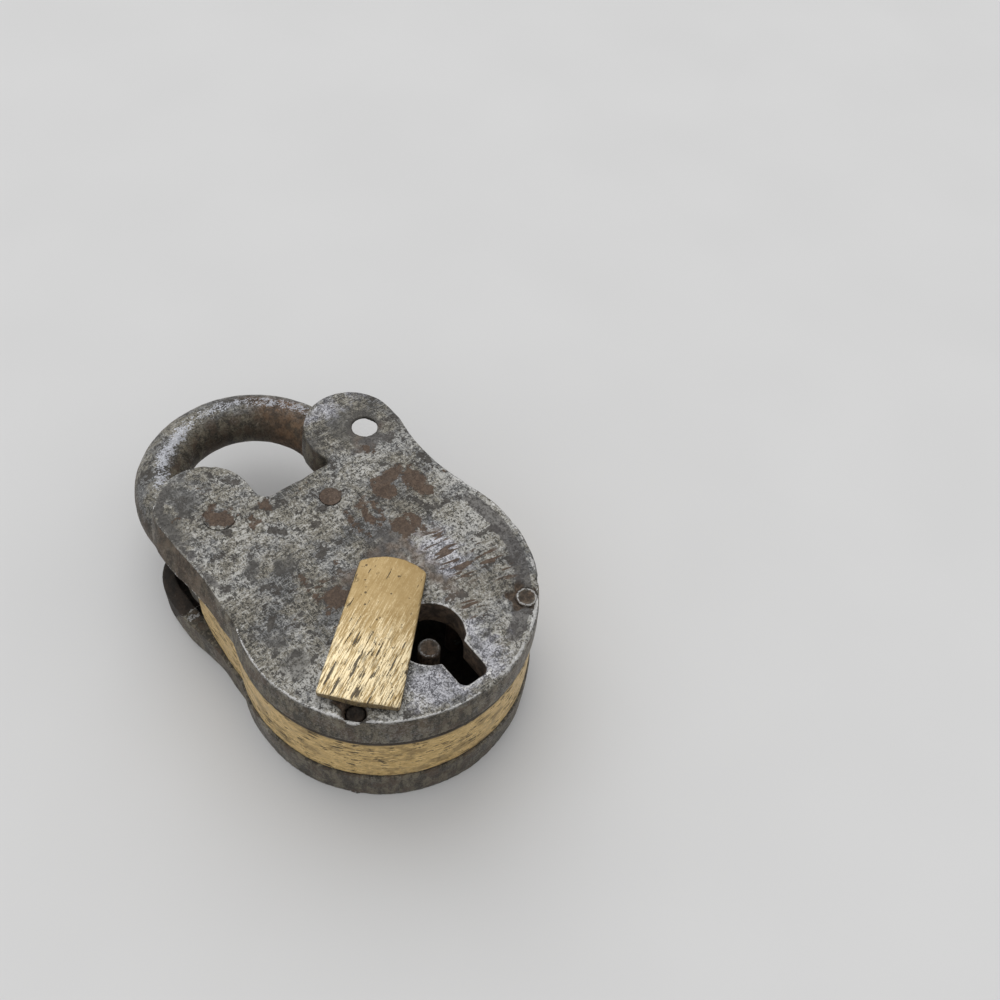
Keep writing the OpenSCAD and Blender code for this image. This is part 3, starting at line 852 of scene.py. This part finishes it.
# %% Keyhole cover
NICKS = ((-6.4, 4.6, 1.0), (-13.0, -0.6, 0.9), (-12.6, -26.6, 0.8), (-10.6, -24.4, 0.8))
NICK_DEPTH = 0.45


def wear_cover(p, n):
    press(p, n, 0.05 * hills(p, 6, 13) + 0.02 * hills(p, 1.2, 14) + 0.05)
    for x, y, r in NICKS:
        away = np.hypot(p[:, 0] - x, p[:, 1] - y)
        press(p, n, NICK_DEPTH * (1 - rise(away, 0, r)))
    # The cover's side faces get painted shade.
    return p, {"wall": 1 - rise(n[:, 2], 0.3, 0.7)}


bm = solid_copy("keyhole_cover")
bevel_where(bm, 1.9, lambda p: p.z > top_z, segments=5, upright=True)
bevel_where(bm, 0.55, lambda p: p.z > top_z, segments=2)
cover = piece("keyhole_cover_worn", bm, "cover", BRASS_COVER, ["keyhole_cover"])
reskin(cover, voxel=0.28, smooth=2)
sculpt(cover, wear_cover)

# %% [markdown]
# ## Rim rivets and pin
# The two lower rivets and the keyhole's pin are round, so each is spun from half a profile.
# The right rivet has a raised ring with a bright ring painted on it, worn metal with a painted
# highlight; the left one lies deep in its hollow and is painted in deep shade; and the pin's top
# gets the same bright ring along its rim.

# %% Rim rivets and pin
# The parts inside are darkened as painted shade, and the iron is rustier too.
INNER_IRON = iron("rusty_inner_iron", silver=-0.08, rust=0.22, walls=False)
INNER_BRASS = brass("tarnished_shaded_brass", SHADED_DULL_TONES)
RIVET = iron("rusty_rivet", silver=-0.03, rust=0.10)
# The sunk rivet is painted in deep shade.
SUNK_RIVET = iron("sunken_rivet", silver=-0.03, rust=0.10, inside=DEEP_SHADE)
RIVET_HEAD = iron("rust_brown_head", rust=0.4, walls=False)
AXIS_R, CAP_R, SPIN_STEPS = 0.01, 0.1, 40
SHANK_R, SHANK_Z = 2.55, 0.3
PIN_FOOT_REACH, PIN_FOOT_LOW, PIN_FOOT_HIGH = 2, 3, 4


def turned(name, x, y, profile, node, slot, material, ring, shine):
    """Spins a profile of radii and heights, and paints a bright ring of that radius on its top,
    worn metal with a painted highlight on the rounded rim.
    """
    bm = bmesh.new()
    half = [bm.verts.new(Vector((x + r, y, z)) * MM) for r, z in profile]
    edges = [bm.edges.new(pair) for pair in zip(half, half[1:])]
    bmesh.ops.spin(bm, geom=half + edges, cent=Vector((x, y, 0)) * MM, axis=(0, 0, 1),
                   angle=math.tau, steps=SPIN_STEPS, use_merge=True)
    for end in (profile[0][1], profile[-1][1]):
        hole = [v for v in bm.verts if abs(v.co.z / MM - end) < 0.001
                and (v.co.xy / MM - Vector((x, y))).length < CAP_R]
        bmesh.ops.contextual_create(bm, geom=hole)
    bmesh.ops.recalc_face_normals(bm, faces=bm.faces)

    def order(face):
        numbers = [v.index for v in face.verts]
        return min(numbers) * len(bm.verts) + max(numbers)

    # The spin leaves its faces in another order on each run, so they are sorted.
    bm.verts.index_update()
    bm.faces.sort(key=order)
    made = piece(name, bm, "case", material, [node])
    made.data.shade_smooth()

    def wear(p, n):
        away = np.hypot(p[:, 0] - x, p[:, 1] - y)
        # The bright ring is worn metal with a painted highlight on the rounded rim.
        worn = (p[:, 2] > profile[-1][1] - 0.4) * near(away - ring, 0.45) * shine
        return p, {"edge": worn, "wall": away * 0, "scale_and_shade": 1 - worn}

    sculpt(made, wear)


def rivet(name, x, y, node, head, sunk, shine, material):
    """A rivet whose head has that radius and lies that deep below the face."""
    top = top_z - sunk
    profile = [(AXIS_R, SHANK_Z), (SHANK_R - 0.25, SHANK_Z), (SHANK_R, SHANK_Z + 0.3),
               (SHANK_R, top - 1.0), (head - 0.1, top - 0.7), (head, top - 0.3),
               (head - 0.2, top + 0.1), (head - 0.6, top + 0.2), (head - 1.1, top),
               (1.2, top - 0.15), (AXIS_R, top - 0.1)]
    turned(name, x, y, profile, node, "rivet_iron", material, head - 0.5, shine)


def pin_profile(pin_r, foot_r, low, high):
    """A pin on a wider foot, with a rounded and slightly hollow top."""
    return [(AXIS_R, low), (pin_r, low), (pin_r, PIN_FOOT_LOW), (foot_r, PIN_FOOT_LOW),
            (foot_r, PIN_FOOT_HIGH), (pin_r, PIN_FOOT_HIGH), (pin_r, high - 0.8),
            (pin_r - 0.2, high - 0.3), (pin_r - 0.6, high), (pin_r - 1.1, high - 0.05),
            (1.0, high - 0.2), (AXIS_R, high - 0.2)]


rivet("right_rim_rivet_worn", *rim_rivets[0], "right_rim_rivet",
      head=3.15, sunk=0.85, shine=0.95, material=RIVET)
rivet("left_rim_rivet_worn", *rim_rivets[1], "left_rim_rivet",
      head=2.45, sunk=2.1, shine=0.0, material=SUNK_RIVET)
pin_low, pin_high = (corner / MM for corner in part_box("drill_pin"))
foot_r = (pin_high.x - pin_low.x) / 2
pin_r = foot_r - PIN_FOOT_REACH
turned("drill_pin_worn", key_x, key_y, pin_profile(pin_r, foot_r, pin_low.z, pin_high.z),
       "drill_pin", "inner_iron", RIVET, ring=pin_r - 0.5, shine=0.75)

# %% [markdown]
# ## Lock work and the upper rivets
# The pieces inside are seen only through the keyhole and the open ears, so each keeps its CAD shape
# and gets the same iron or brass, rustier and darkened as painted shade. The shackle's rivet and
# the upper rivet lie flush in the face and keep their shape too.

# %% Lock work and the upper rivets
finishes = {"inner_iron": INNER_IRON, "inner_brass": INNER_BRASS, "rivet_iron": IRON_PLATE,
            "spring_steel": INNER_IRON, "brass": BRASS_RIM}
slots = {s["node"]: s["material_slot"] for s in frame["record"]["subparts"]}
for name, node in frame["nodes"].items():
    if not node.hide_render:
        node.data.materials.clear()
        node.data.materials.append(RIVET_HEAD if name == "upper_rivet" else finishes[slots[name]])
